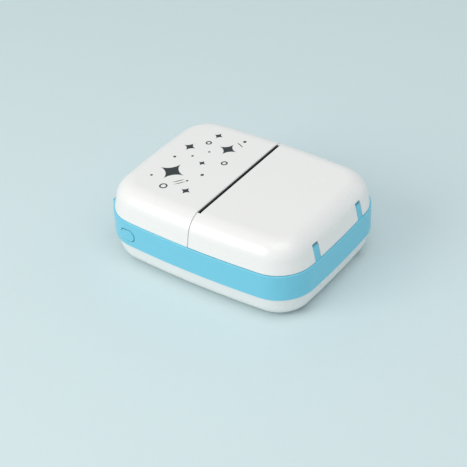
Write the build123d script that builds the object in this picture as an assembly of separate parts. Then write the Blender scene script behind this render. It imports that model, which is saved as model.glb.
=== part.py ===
"""Pocket thermal printer with a hinged paper cover, in millimetres.

The origin is the centre of the body's plan on the table, +Z is up, +Y runs from
the hinge end to the face panel end and +X is the right-hand side of the face.
"""
import os
from math import cos, pi, radians, sin, tan

from build123d import *

# Outer body
body_width = 78.0
body_length = 101.0
foot_standout = 0.6
bottom_height = 11.8
band_height = 12.4
top_height = 13.4
side_bow_radius = 480.0
end_bow_radius = 485.0
corner_radius = 17.0
top_draft = 12.0
top_round = 9.0
bottom_draft = 13.0
bottom_round = 8.0
band_standout = 0.6
wall = 1.8
edge_round = 0.3

half_width = body_width / 2
half_length = body_length / 2
band_side = half_width + band_standout
band_end = half_length + band_standout
base_level = foot_standout
band_bottom = base_level + bottom_height
band_top = band_bottom + band_height
body_top = band_top + top_height
floor_level = base_level + wall
roof_level = body_top - wall
band_middle = (band_bottom + band_top) / 2
corner_x = half_width - corner_radius - (half_length - corner_radius) ** 2 / (2 * side_bow_radius)
corner_y = half_length - corner_radius - corner_x ** 2 / (2 * end_bow_radius)

# Seam between the cover and the face panel
panel_length = 49.4
seam_gap = 0.4
cover_lift = 0.25
seam_y = half_length - panel_length
cover_edge = seam_y - seam_gap / 2
panel_edge = seam_y + seam_gap / 2

# Paper width and the slot it leaves by
side_room = 10.5
slot_margin = 2.1
slot_cut = 1.5
slot_bevel = 0.4
paper_half = half_width - side_room
slot_half = paper_half + slot_margin
slot_rear = cover_edge - slot_cut

# Cover hinge
hinge_inset = 3.0
hinge_rise = 4.7
ear_inset = 22.0
ear_width = 3.6
ear_gap = 0.2
ear_depth = 4.9
ear_height = 6.7
notch_height = 8.0
notch_depth = 6.2
knuckle_width = 4.0
knuckle_radius = 2.6
pin_radius = 1.0
running_gap = 0.05
relief_depth = 0.6
ear_middle = half_width - ear_inset
hinge_y = hinge_inset - half_length
hinge_z = band_top + hinge_rise

# Platen, carried by the cover
platen_setback = 5.3
platen_drop = 8.0
platen_radius = 4.5
platen_overhang = 0.1
shaft_radius = 1.5
bush_radius = 3.0
fit_gap = 0.1
paper_gap = 0.3
arm_gap = 0.5
plate_thickness = 1.4
plate_gap = 0.4
arm_margin = 1.2
holder_drop = 1.0
holder_thickness = 1.6
platen_y = seam_y - platen_setback
platen_z = roof_level - platen_drop
platen_half = paper_half + platen_overhang
arm_start = paper_half + arm_gap
arm_end = arm_start + plate_thickness
plate_start = arm_end + plate_gap
plate_end = plate_start + plate_thickness
holder_top = roof_level - holder_drop
holder_low = holder_top - holder_thickness

# Tear blade
tooth_pitch = 1.2
tooth_height = 0.7
blade_thickness = 0.4
blade_end_gap = 0.6
blade_sink = 0.5

# Paper tray: it fills the room between the hinge and the platen
roll_play = 0.7
tray_wall = 1.4
tray_inset = 9.0
tray_setback = 3.3
tray_foot = 0.6
tray_foot_inset = 9.2
tray_foot_width = 4.0
tray_foot_half = 6.0
rim_drop = 1.2
rim_gap = 0.3
rim_inset = 4.5
rim_setback = 9.3
ledge_width = 2.8
tray_front = platen_y - tray_setback
tray_rear = tray_inset - half_length
tray_outer = (tray_front - tray_rear) / 2
tray_inner = tray_outer - tray_wall
tray_y = (tray_front + tray_rear) / 2
tray_z = floor_level + tray_foot + tray_outer
tray_side = paper_half + roll_play
tray_foot_x = tray_side - tray_foot_inset
rim_top = band_top - rim_drop
rim_low = rim_top - tray_wall
rim_front = platen_y - rim_setback
rim_rear = rim_inset - half_length

# Paper sensor on the tray
sensor_width = 5.0
sensor_thickness = 1.6
sensor_low = 4.6
sensor_high = 1.8

# Gear train: platen gear, compound idler below it, motor pinion
gear_module = 0.5
addendum = 0.45
dedendum = 0.62
root_share = 0.55
tip_share = 0.22
platen_teeth = 20
small_teeth = 16
large_teeth = 30
pinion_teeth = 10
motor_angle = -30.0
gear_gap = 0.3
inner_gear_width = 1.5
outer_gear_width = 1.4
idler_pin_radius = 1.0
post_end = 0.6
clip_gap = 0.1
clip_thickness = 0.4
clip_mouth = 1.2
inner_gear_start = plate_end + gear_gap
inner_gear_end = inner_gear_start + inner_gear_width
outer_gear_start = inner_gear_end + gear_gap
outer_gear_end = outer_gear_start + outer_gear_width
idler_y = platen_y
idler_z = platen_z - gear_module * (platen_teeth + small_teeth) / 2
drive_distance = gear_module * (large_teeth + pinion_teeth) / 2

# Stepper motor
motor_radius = 7.5
motor_length = 13.0
motor_flange = 0.6
motor_edge_round = 0.8
motor_pilot_radius = 2.5
motor_ear_radius = 2.4
motor_shaft_radius = 0.75
motor_shaft_inset = 2.0
motor_screw_angle = 50.0
motor_screw_reach = 9.0
motor_screw_head = 1.0
motor_y = idler_y + drive_distance * cos(radians(motor_angle))
motor_z = idler_z + drive_distance * sin(radians(motor_angle))
motor_front = motor_y + motor_radius
motor_end = plate_start - motor_flange - motor_length

# Frame of the mechanism
frame_rise = 3.6
frame_headroom = 3.1
frame_tail = 5.4
frame_room = 4.6
cross_wall = 1.6
cross_below = 4.4
cross_above = 4.6
lower_bar = 3.0
bush_lead_in = 0.4
frame_floor = floor_level + frame_rise
foot_top = frame_floor + plate_thickness
frame_top = platen_z + frame_headroom
frame_rear = platen_y - frame_tail
frame_front = motor_front + frame_room
cross_rear = frame_front - cross_wall

# Print head, its pivot and springs
ceramic_thickness = 0.9
ceramic_overhang = 0.5
ceramic_below = 3.8
ceramic_above = 4.2
ceramic_chamfer = 0.3
head_plate_thickness = 1.5
head_plate_below = 6.0
head_plate_above = 5.6
pivot_setback = 2.0
pivot_below = 4.4
pivot_radius = 1.0
lug_inset = 4.0
lug_width = 2.0
lug_margin = 0.9
lug_below = 1.2
lug_above = 2.0
spring_inset = 11.0
spring_above = 1.6
spring_radius = 1.7
spring_wire = 0.45
spring_turns = 5
spring_length = 7.0
spring_post = 1.1
spring_post_length = 2.0
spring_seat_margin = 0.8
head_front = platen_y + platen_radius + paper_gap
plate_front = head_front + ceramic_thickness
head_back = plate_front + head_plate_thickness
ceramic_half = paper_half + ceramic_overhang
ceramic_low = platen_z - ceramic_below
ceramic_high = platen_z + ceramic_above
head_plate_low = platen_z - head_plate_below
head_plate_high = platen_z + head_plate_above
pivot_y = head_back + pivot_setback
pivot_z = platen_z - pivot_below
lug_x = ceramic_half - lug_inset
spring_x = ceramic_half - spring_inset
spring_z = platen_z + spring_above

# Paper guide under the panel's edge, with a lip that lines the slot
guide_gap = 0.4
guide_depth = 6.5
guide_end_gap = 0.3
guide_lip = 0.7

# Screws
screw_radius = 0.9
screw_head_radius = 1.7
screw_head_height = 1.2
shell_screw_length = 12.0
short_screw_length = 5.0
frame_screw_length = 4.0
shell_screw_seat = band_bottom - shell_screw_length / 2

# Screw columns in the corners: how far inside the corner, and at what angle
boss_radius = 2.5
front_boss_inset = 7.2
front_boss_angle = 63.5
panel_boss_inset = 4.3
panel_boss_angle = 42.4
rear_boss_inset = 5.1
rear_boss_angle = -82.0
web_drop = 3.8
web_thickness = 1.6
rib_thickness = 2.0
web_low = band_top - web_drop
web_high = web_low + web_thickness


def corner_place(inset, angle):
    """Point (x, y) inside the right front corner, or the right rear one if the angle is negative."""
    reach = corner_radius - inset
    y = corner_y + reach * abs(sin(radians(angle)))
    return corner_x + reach * cos(radians(angle)), y if angle > 0 else -y


front_boss = corner_place(front_boss_inset, front_boss_angle)
panel_boss = corner_place(panel_boss_inset, panel_boss_angle)
rear_boss = corner_place(rear_boss_inset, rear_boss_angle)

# Main board
board_thickness = 1.2
board_rise = 4.4
board_inset = 3.6
board_gap = 2.6
board_clearance = 0.5
board_top = band_bottom + board_rise
board_low = board_top - board_thickness
board_rear = frame_front + board_gap
board_front = front_boss[1] - boss_radius - board_gap
board_half = half_width - board_inset

# Other fixing places (x on both sides, y)
frame_boss_front = (plate_start - 4.3, motor_front + 1.2)
frame_boss_rear = (plate_end + 1.9, platen_y - 2.3)
tray_boss = (half_width - 5.7, tray_y - 5.5)
board_boss = (board_half - 6.4, board_rear + 2.8)
holder_boss = (arm_end - 10.4, platen_y - 7.3)

# Charging port and status light on the right side
usb_inset = 6.6
usb_width = 9.0
usb_height = 3.2
usb_depth = 7.3
usb_overhang = 1.4
usb_shell = 0.3
usb_back = 1.0
tongue_half = 3.3
tongue_thickness = 0.7
tongue_setback = 0.8
port_gap = 0.3
light_pitch = 8.6
light_radius = 0.9
lamp_inset = 1.5
lamp_depth = 2.0
lamp_half = 1.2
usb_y = board_front - usb_inset
port_z = board_top + usb_height / 2
light_y = usb_y - light_pitch

# Power button on the left side, and its switch
button_inset = 16.05
button_drop = 0.5
button_length = 7.7
button_height = 5.4
button_gap = 0.3
button_proud = 0.2
button_flange = 0.7
button_flange_thickness = 1.0
button_travel = 0.5
button_depth = 5.8
button_room = 2.0
switch_gap = 0.1
switch_width = 6.0
switch_depth = 3.2
switch_height = 3.5
plunger_length = 0.8
plunger_radius = 0.9
button_y = half_length - button_inset
button_z = band_middle - button_drop
button_back = button_depth - half_width
switch_x = button_back + button_travel + switch_gap

# Battery, its pad and its lead
battery_gap = 1.5
battery_inset = 9.1
battery_height = 8.0
battery_round = 1.4
pad_thickness = 0.5
pad_margin = 3.0
wire_radius = 0.6
wire_pitch = 2.0
wire_bend = 1.6
wire_run = 1.8
wire_drop = 2.5
battery_half = frame_boss_front[0] - boss_radius - battery_gap
battery_rear = frame_front + 1.0
battery_front = half_length - battery_inset
battery_low = floor_level + pad_thickness
battery_top = battery_low + battery_height

# Chips on the board: x of the middle, width, depth and height
chip_gap = 6.8
radio_inset = 12.4
radio_x = radio_inset - board_half
processor = (-2.5, 7.0, 7.0, 0.9)
motor_driver = (8.0, 4.0, 5.0, 1.0)
flash_memory = (15.5, 5.0, 4.0, 1.4)
radio_can = (radio_x, 8.0, 7.0, 2.0)

# Cables and sockets
ribbon_half = 11.0
ribbon_thickness = 0.25
ribbon_gap = 0.3
ribbon_above = 3.0
ribbon_lift = 2.2
lead_inset = 1.3
lead_width = 5.0
lead_thickness = 0.6
lead_drop = 1.0
cable_bend = 0.9
cable_run = 1.3
socket_height = 2.2
socket_inset = 1.0
socket_depth = 3.2
socket_margin = 1.0
power_socket_height = 3.0
power_socket_depth = 4.0
plug_pitch = 9.0
plug_half = 2.4
plug_length = 3.0
plug_gap = 0.3
socket_rear = board_rear + socket_inset
socket_level = board_top + socket_height / 2
lead_start = motor_end + lead_inset
lead_end = lead_start + lead_width
plug_x = radio_x + plug_pitch
plug_front = board_front - 1.0
plug_rear = plug_front - plug_length
plug_level = board_top + power_socket_height / 2

# Feet and lanyard bar
foot_radius = 4.0
foot_inset_x = 16.0
foot_inset_y = 17.5
foot_recess = 0.6
lanyard_inset = 13.0
lanyard_width = 8.0
lanyard_standout = 1.0
lanyard_round = 0.8
lanyard_post = 2.6
lanyard_margin = 1.6
lanyard_mouth = 1.0
lanyard_pocket = 1.2
lanyard_gap = 0.2
foot_x = half_width - foot_inset_x
foot_y = half_length - foot_inset_y
lanyard_start = lanyard_inset - half_width


def outline(inset=0.0):
    """Plan outline of the body: four gently bowed sides with round corners."""
    side_centre = side_bow_radius - half_width
    end_centre = end_bow_radius - half_length
    face = Pos(side_centre, 0) * Circle(side_bow_radius - inset)
    face &= Pos(-side_centre, 0) * Circle(side_bow_radius - inset)
    face &= Pos(0, end_centre) * Circle(end_bow_radius - inset)
    face &= Pos(0, -end_centre) * Circle(end_bow_radius - inset)
    return fillet(face.vertices(), corner_radius - inset)


def slab(inset, low, high):
    """Upright solid with the body's outline, moved in by the inset."""
    return extrude(Pos(0, 0, low) * outline(inset), high - low)


def drafted(inset, level, height, draft):
    """Solid that narrows from the outline at one level to the end of its height, up or down."""
    narrowing = abs(height) * tan(radians(draft))
    wide = Pos(0, 0, level) * outline(inset)
    narrow = Pos(0, 0, level + height) * outline(inset + narrowing)
    return loft([wide, narrow], ruled=True)


def top_form(inset=0.0):
    """Drafted and rounded form of the upper casing; an inset gives its inside."""
    form = drafted(inset, band_top, top_height - inset, top_draft)
    return fillet(form.edges().group_by(Axis.Z)[-1], top_round - inset)


def bottom_form(inset=0.0):
    """Drafted and rounded form of the lower casing; an inset gives its inside."""
    form = drafted(inset, band_bottom, inset - bottom_height, bottom_draft)
    return fillet(form.edges().group_by(Axis.Z)[0], bottom_round - inset)


def block(x0, x1, y0, y1, z0, z1):
    """Box between two corners."""
    return Pos((x0 + x1) / 2, (y0 + y1) / 2, (z0 + z1) / 2) * Box(x1 - x0, y1 - y0, z1 - z0)


def rod_z(place, z0, z1, radius):
    """Upright round rod at (x, y)."""
    return Pos(place[0], place[1], (z0 + z1) / 2) * Cylinder(radius, z1 - z0)


def rod_x(y, z, x0, x1, radius):
    """Round rod along X."""
    return Pos((x0 + x1) / 2, y, z) * Rot(0, 90, 0) * Cylinder(radius, x1 - x0)


def rod_y(x, z, y0, y1, radius):
    """Round rod along Y."""
    return Pos(x, (y0 + y1) / 2, z) * Rot(90, 0, 0) * Cylinder(radius, y1 - y0)


def side_face(face, x):
    """Puts a sketch drawn in Y and Z at the given x."""
    return Plane.YZ.offset(x) * face


def mirrored(shape):
    """Copy on the other side of the printer."""
    return mirror(shape, Plane.YZ)


def pair(shape):
    """One solid piece joined with its mirrored copy."""
    return shape + mirrored(shape)


def twins(shape):
    """Two separate identical solids, one on each side."""
    return Compound([shape, mirrored(shape)])


def pan_screw(place, seat, length, up=True):
    """Self-tapping screw whose head bears on the level given as seat."""
    sense = 1 if up else -1
    ends = sorted((seat, seat + sense * length))
    heads = sorted((seat, seat - sense * screw_head_height))
    return rod_z(place, *ends, screw_radius) + rod_z(place, *heads, screw_head_radius)


def gear_solid(teeth, turn, x, width):
    """Spur gear with plain tapered teeth; turn is the angle of its first tooth."""
    pitch_radius = gear_module * teeth / 2
    tip = pitch_radius + addendum
    root = pitch_radius - dedendum
    half_step = pi / teeth
    flank = ((root, -root_share), (tip, -tip_share), (tip, tip_share), (root, root_share))
    points = []
    for tooth in range(teeth):
        middle = radians(turn) + 2 * half_step * tooth
        for radius, share in flank:
            angle = middle + share * half_step
            points.append((radius * cos(angle), radius * sin(angle)))
    return extrude(side_face(make_face(Polyline(*points, close=True)), x), width)


def bottom_shell():
    """White lower casing with its screw columns and foot recesses."""
    outer = bottom_form()
    outer = fillet(outer.edges().group_by(Axis.Z)[-1], edge_round)
    shell = outer - bottom_form(wall)
    columns = rod_z(front_boss, base_level, band_bottom, boss_radius)
    columns += rod_z(rear_boss, base_level, band_bottom, boss_radius)
    columns += rod_z(frame_boss_front, base_level, frame_floor, boss_radius)
    columns += rod_z(frame_boss_rear, base_level, frame_floor, boss_radius)
    columns += rod_z(board_boss, base_level, board_low, boss_radius)
    shell += pair(columns & (bottom_form(wall / 2) + slab(wall, band_bottom, board_top)))
    holes = rod_z(front_boss, base_level, band_bottom, screw_radius)
    holes += rod_z(rear_boss, base_level, band_bottom, screw_radius)
    for place in (front_boss, rear_boss):
        holes += rod_z(place, 0, shell_screw_seat, screw_head_radius + fit_gap)
    for place in (frame_boss_front, frame_boss_rear):
        holes += rod_z(place, foot_top - frame_screw_length, frame_floor, screw_radius)
    holes += rod_z(board_boss, board_top - short_screw_length, board_top, screw_radius)
    for y in (-foot_y, foot_y):
        holes += rod_z((foot_x, y), 0, base_level + foot_recess, foot_radius)
    return shell - pair(holes)


def lanyard_bridge():
    """Upright bar on the far end, near the left corner, for a wrist strap, and the passage behind it."""
    lanyard_end = lanyard_start + lanyard_width
    middle = lanyard_start + lanyard_width / 2
    low = band_bottom + lanyard_margin
    high = band_top - lanyard_margin
    bar = block(lanyard_start, lanyard_end, half_length - wall, band_end + lanyard_standout, low, high)
    bar = fillet(bar.edges().filter_by(Axis.Z).group_by(Axis.Y)[-1], lanyard_round)
    start = middle - lanyard_width / 2 + lanyard_post
    end = middle + lanyard_width / 2 - lanyard_post
    mouths = (low - lanyard_mouth, high + lanyard_mouth)
    passage = block(start, end, band_end - lanyard_pocket, band_end + lanyard_gap, *mouths)
    return bar, passage


def cover_relief():
    """Slope inside the band's rear edge that the cover's wall swings into."""
    low = Pos(0, 0, band_top - relief_depth) * outline(wall)
    high = Pos(0, 0, band_top) * outline(edge_round)
    rear = block(-body_width, body_width, -body_length, rim_rear + corner_radius / 2, 0, body_top)
    return loft([low, high]) & rear


def mid_frame():
    """Blue band: a ring that stands out a little, with the hinge ears, bosses, ledges and side openings."""
    ring = slab(-band_standout, band_bottom, band_top)
    rims = ring.edges().group_by(Axis.Z)
    ring = fillet(rims[0] + rims[-1], edge_round)
    ring -= slab(wall, band_bottom, band_top)
    ring -= cover_relief()

    rib_half = rib_thickness / 2
    web_rear = front_boss[1] - boss_radius
    fixings = rod_z(front_boss, band_bottom, web_high, boss_radius)
    fixings += rod_z(rear_boss, band_bottom, web_high, boss_radius)
    fixings += block(rear_boss[0] - rib_half, rear_boss[0] + rib_half, -half_length, rear_boss[1],
                     band_bottom, web_high)
    fixings += block(front_boss[0] - boss_radius, half_width, web_rear, half_length, web_low, web_high)
    ledge_low = rim_low - tray_wall
    ledge = slab(wall / 2, ledge_low, rim_low) - slab(wall + ledge_width, band_bottom, band_top)
    ledge &= block(0, half_width, tray_y - tray_inner + rib_thickness, rim_front, band_bottom, band_top)
    fixings += ledge + rod_z(tray_boss, rim_top - short_screw_length - wall, rim_low, boss_radius - wall / 4)
    fixings &= slab(wall / 2, band_bottom, band_top)
    for place in (front_boss, rear_boss):
        fixings -= rod_z(place, band_bottom, shell_screw_seat + shell_screw_length, screw_radius)
    fixings -= rod_z(panel_boss, web_low, web_high, screw_radius)
    fixings -= rod_z(tray_boss, rim_top - short_screw_length, rim_low, screw_radius)

    ear_back = ear_depth - half_length
    ear = block(ear_middle - ear_width / 2, ear_middle + ear_width / 2, -half_length, ear_back,
                web_low, band_top + ear_height)
    ear &= slab(0, band_bottom, band_top) + top_form()
    ear -= rod_x(hinge_y, hinge_z, 0, half_width, pin_radius + running_gap)

    bar, passage = lanyard_bridge()
    frame = ring + pair(fixings) + pair(ear) + bar - passage
    return frame - button_opening() - port_openings()


def button_opening():
    """Stadium hole for the power button in the left wall."""
    hole = SlotOverall(button_length + 2 * button_gap, button_height + 2 * button_gap)
    return extrude(side_face(Pos(button_y, button_z) * hole, -band_side), button_depth + band_standout)


def port_openings():
    """Charging port and status light holes in the right wall."""
    port = SlotOverall(usb_width + 2 * port_gap, usb_height + 2 * port_gap)
    hole = extrude(side_face(Pos(usb_y, port_z) * port, board_half), 2 * board_inset)
    return hole + rod_x(light_y, port_z, board_half, band_side, light_radius)


def face_panel():
    """White fixed half of the top, with the bevelled edge of the paper slot."""
    outer = top_form()
    outer = fillet(outer.edges().group_by(Axis.Z)[0], edge_round)
    panel = outer - top_form(wall)
    panel &= block(-half_width, half_width, panel_edge, half_length, band_top, body_top)
    inside = top_form(wall / 2) + slab(wall, web_high, band_top)
    panel += pair(rod_z(panel_boss, web_high, body_top, boss_radius) & inside)
    panel -= pair(rod_z(panel_boss, web_high, web_low + short_screw_length, screw_radius))
    bevel = Polyline((panel_edge, body_top - slot_bevel), (panel_edge + slot_bevel, body_top),
                     (panel_edge, body_top), close=True)
    return panel - extrude(side_face(make_face(bevel), -slot_half), 2 * slot_half)


def paper_cover():
    """White hinged half of the top, with notches and knuckles for the hinge."""
    outer = top_form()
    outer = fillet(outer.edges().group_by(Axis.Z)[0], edge_round)
    cover = outer - top_form(wall)
    cover &= block(-half_width, half_width, -half_length, cover_edge, band_top + cover_lift, body_top)
    cover -= block(-slot_half, slot_half, slot_rear, cover_edge, holder_top, body_top)

    notch_half = ear_width / 2 + ear_gap
    knuckle_half = notch_half + knuckle_width
    knuckle_ends = (ear_middle - knuckle_half, ear_middle + knuckle_half)
    inner = hinge_y + knuckle_radius
    knuckle = block(*knuckle_ends, -half_length, inner, hinge_z, body_top)
    knuckle += rod_x(hinge_y, hinge_z, *knuckle_ends, knuckle_radius)
    knuckle &= top_form(wall / 2)
    bosses = rod_z(holder_boss, holder_top, roof_level + wall / 2, boss_radius)
    cover += pair(knuckle + bosses)
    notch = block(ear_middle - notch_half, ear_middle + notch_half, -half_length, notch_depth - half_length,
                  band_top, band_top + notch_height)
    cover -= pair(notch)
    cover -= pair(rod_x(hinge_y, hinge_z, *knuckle_ends, pin_radius))
    return cover - pair(rod_z(holder_boss, holder_top, roof_level + wall / 2, screw_radius))


def hinge_pins():
    """Two steel pins, pressed into the knuckles of the cover."""
    half = ear_width / 2 + ear_gap + knuckle_width
    return twins(rod_x(hinge_y, hinge_z, ear_middle - half, ear_middle + half, pin_radius))


def platen_holder():
    """Black bracket under the cover with an arm at each end of the platen."""
    plate = block(-arm_end, arm_end, holder_boss[1] - boss_radius, slot_rear, holder_low, holder_top)
    arm_rear = platen_y - bush_radius - arm_margin
    arm = block(arm_start, arm_end, arm_rear, slot_rear, platen_z, holder_top)
    arm += rod_x(platen_y, platen_z, arm_start, arm_end, bush_radius + arm_margin)
    arm -= rod_x(platen_y, platen_z, arm_start, arm_end, bush_radius)
    return plate + pair(arm) - pair(rod_z(holder_boss, 0, body_top, screw_radius))


def tear_blade():
    """Serrated steel strip that stands in the slot, on the cover's side."""
    high = body_top - blade_sink
    half = slot_half - blade_end_gap
    points = [(-half, holder_low), (-half, high)]
    for number in range(int(2 * half / tooth_pitch)):
        start = -half + number * tooth_pitch
        points += [(start + tooth_pitch / 2, high - tooth_height), (start + tooth_pitch, high)]
    points += [(half, high), (half, holder_low)]
    face = make_face(Polyline(*points, close=True))
    return extrude(Plane.XZ.offset(-slot_rear) * face, -blade_thickness)


def platen_bushes():
    """Plain bearings at the ends of the platen shaft."""
    bush = rod_x(platen_y, platen_z, arm_start, plate_end, bush_radius)
    return twins(bush - rod_x(platen_y, platen_z, arm_start, plate_end, shaft_radius + running_gap))


def platen_shaft():
    """Steel shaft of the platen."""
    return rod_x(platen_y, platen_z, -plate_end, inner_gear_end, shaft_radius)


def platen_rubber():
    """Rubber sleeve that feeds the paper."""
    sleeve = rod_x(platen_y, platen_z, -platen_half, platen_half, platen_radius)
    return sleeve - rod_x(platen_y, platen_z, -platen_half, platen_half, shaft_radius)


def platen_gear():
    """Gear pressed onto the right-hand end of the platen shaft."""
    gear = gear_solid(platen_teeth, -90, inner_gear_start, inner_gear_width)
    gear = Pos(0, platen_y, platen_z) * gear
    return gear - rod_x(platen_y, platen_z, plate_end, half_width, shaft_radius)


def idler_gear():
    """Compound gear: the small wheel drives the platen, the large one meets the pinion."""
    small_width = outer_gear_start - inner_gear_start
    gear = gear_solid(small_teeth, 90 + 180 / small_teeth, inner_gear_start, small_width)
    gear += gear_solid(large_teeth, motor_angle, outer_gear_start, outer_gear_width)
    gear = Pos(0, idler_y, idler_z) * gear
    return gear - rod_x(idler_y, idler_z, plate_end, half_width, idler_pin_radius + running_gap)


def idler_post():
    """Steel pin that the compound gear turns on."""
    return rod_x(idler_y, idler_z, plate_start, outer_gear_end + post_end, idler_pin_radius)


def idler_clip():
    """Spring clip on the end of the post."""
    start = outer_gear_end + clip_gap
    end = start + clip_thickness
    outer = 2 * idler_pin_radius
    clip = rod_x(idler_y, idler_z, start, end, outer) - rod_x(idler_y, idler_z, start, end, idler_pin_radius)
    mouth = (idler_y - clip_mouth / 2, idler_y + clip_mouth / 2)
    return clip - block(start, end, *mouth, idler_z - outer, idler_z)


def motor_screw_places():
    """The two fixing points of the motor flange, as (y, z)."""
    reach_y = motor_screw_reach * cos(radians(motor_screw_angle))
    reach_z = motor_screw_reach * sin(radians(motor_screw_angle))
    return (motor_y + reach_y, motor_z + reach_z), (motor_y - reach_y, motor_z - reach_z)


def stepper_motor():
    """Motor can with its mounting flange."""
    flange_start = plate_start - motor_flange
    can = rod_x(motor_y, motor_z, motor_end, flange_start, motor_radius)
    can = fillet(can.edges().group_by(Axis.X)[0], motor_edge_round)
    flange = rod_x(motor_y, motor_z, flange_start, plate_start, motor_radius)
    flange += rod_x(motor_y, motor_z, plate_start, plate_end, motor_pilot_radius)
    for y, z in motor_screw_places():
        flange += rod_x(y, z, flange_start, plate_start, motor_ear_radius)
    for y, z in motor_screw_places():
        flange -= rod_x(y, z, flange_start, plate_start, screw_radius)
    bore = rod_x(motor_y, motor_z, motor_end + motor_shaft_inset, plate_end, motor_shaft_radius + running_gap)
    return can + flange - bore


def motor_shaft():
    """Output shaft of the motor."""
    return rod_x(motor_y, motor_z, motor_end + motor_shaft_inset, outer_gear_end, motor_shaft_radius)


def motor_pinion():
    """Brass pinion on the motor shaft."""
    turn = motor_angle + 180 + 180 / pinion_teeth
    gear = Pos(0, motor_y, motor_z) * gear_solid(pinion_teeth, turn, outer_gear_start, outer_gear_width)
    return gear - rod_x(motor_y, motor_z, plate_end, half_width, motor_shaft_radius)


def motor_screws():
    """Two screws through the side plate into the motor flange."""
    screws = []
    for y, z in motor_screw_places():
        shank = rod_x(y, z, plate_start - motor_flange, plate_end, screw_radius)
        screws.append(shank + rod_x(y, z, plate_end, plate_end + motor_screw_head, screw_head_radius))
    return Compound(screws)


def mechanism_frame():
    """Black frame: side plates, cross wall and feet; it carries motor, gears and head."""
    plate = block(plate_start, plate_end, frame_rear, frame_front, frame_floor, frame_top)
    half_slot = bush_radius + fit_gap
    plate -= rod_x(platen_y, platen_z, plate_start, plate_end, half_slot)
    plate -= block(plate_start, plate_end, platen_y - half_slot - bush_lead_in, platen_y + half_slot,
                   platen_z, frame_top)
    boss_x, boss_y = frame_boss_front
    feet = rod_z(frame_boss_front, frame_floor, foot_top, boss_radius)
    feet += block(boss_x, plate_start, boss_y - boss_radius, boss_y + boss_radius, frame_floor, foot_top)
    feet += rod_z(frame_boss_rear, frame_floor, foot_top, boss_radius)
    feet -= rod_z(frame_boss_front, frame_floor, foot_top, screw_radius)
    feet -= rod_z(frame_boss_rear, frame_floor, foot_top, screw_radius)
    seat_end = head_back + spring_length
    post = rod_y(spring_x, spring_z, seat_end - spring_post_length, cross_rear, spring_post)
    seat = rod_y(spring_x, spring_z, seat_end, cross_rear, spring_radius + spring_seat_margin)
    side = plate + feet + post + seat
    side -= rod_x(pivot_y, pivot_z, plate_start, plate_end, pivot_radius)
    frame = pair(side)
    bars = ((frame_floor, frame_floor + lower_bar), (platen_z - cross_below, platen_z + cross_above))
    for low, high in bars:
        frame += block(-plate_start, plate_start, cross_rear, frame_front, low, high)
    frame &= bottom_form(wall + fit_gap) + slab(wall + fit_gap, band_bottom, body_top)
    frame -= rod_x(idler_y, idler_z, plate_start, plate_end, idler_pin_radius)
    frame -= rod_x(motor_y, motor_z, plate_start, plate_end, motor_pilot_radius)
    for y, z in motor_screw_places():
        frame -= rod_x(y, z, plate_start, plate_end, screw_radius)
    return frame


def mechanism_screws():
    """Four screws that hold the mechanism frame on the bottom shell."""
    places = [frame_boss_front, frame_boss_rear]
    screws = [pan_screw(place, foot_top, frame_screw_length, up=False) for place in places]
    return Compound(screws + [mirrored(screw) for screw in screws])


def head_plate():
    """Aluminium heat sink of the print head with its two pivot lugs."""
    plate = block(-ceramic_half, ceramic_half, plate_front, head_back, head_plate_low, head_plate_high)
    lug_end = lug_x + lug_width
    lug = block(lug_x, lug_end, plate_front, pivot_y, pivot_z - lug_below, pivot_z + lug_above)
    lug += rod_x(pivot_y, pivot_z, lug_x, lug_end, pivot_radius + lug_margin)
    lug -= rod_x(pivot_y, pivot_z, lug_x, lug_end, pivot_radius + running_gap)
    return plate + pair(lug)


def thermal_head():
    """Ceramic strip with the heater line that faces the platen."""
    strip = block(-ceramic_half, ceramic_half, head_front, plate_front, ceramic_low, ceramic_high)
    return chamfer(strip.edges().filter_by(Axis.X).group_by(Axis.Y)[0], ceramic_chamfer)


def head_pin():
    """Steel pin through both side plates that the head swings on."""
    return rod_x(pivot_y, pivot_z, -plate_end, plate_end, pivot_radius)


def head_springs():
    """Two coil springs that push the head against the platen."""
    rise = spring_length - spring_wire
    path = Helix(pitch=rise / spring_turns, height=rise, radius=spring_radius - spring_wire / 2)
    section = Plane(path @ 0, z_dir=path % 0) * Circle(spring_wire / 2)
    coil = sweep(section, path=path)
    return twins(Pos(spring_x, head_back + spring_wire / 2, spring_z) * Rot(-90, 0, 0) * coil)


def flat_lead(points, thickness, x0, x1):
    """Flat cable bent in the YZ plane between two x places."""
    path = FilletPolyline(*points, radius=cable_bend)
    return extrude(side_face(trace(path, thickness), x0), x1 - x0)


def head_ribbon():
    """Flat cable from the print head to the main board."""
    start = head_back + ribbon_gap
    level = socket_level + ribbon_lift
    run = board_rear - cable_run
    points = [(start, ceramic_low + ribbon_above), (start, level), (run, level),
              (run, socket_level), (socket_rear, socket_level)]
    return flat_lead(points, ribbon_thickness, -ribbon_half, ribbon_half)


def motor_lead():
    """Flat four-wire lead from the motor to the main board."""
    low = motor_z - lead_drop
    run = board_rear - cable_run
    points = [(motor_front, low), (run, low), (run, socket_level), (socket_rear, socket_level)]
    return flat_lead(points, lead_thickness, lead_start, lead_end)


def board_sockets():
    """Cable sockets on the main board: head, motor and battery."""
    ends = (socket_rear, socket_rear + socket_depth, board_top, board_top + socket_height)
    head = block(-ribbon_half - socket_margin, ribbon_half + socket_margin, *ends)
    motor = block(lead_start - socket_margin, lead_end + socket_margin, *ends)
    half = plug_half + plug_gap
    power = block(plug_x - half, plug_x + half, plug_rear - power_socket_depth, plug_rear,
                  board_top, board_top + power_socket_height)
    return Compound([head, motor, power])


def battery_plug():
    """White plug of the battery lead."""
    return block(plug_x - plug_half, plug_x + plug_half, plug_rear, plug_front,
                 board_top + plug_gap, board_top + power_socket_height - plug_gap)


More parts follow.
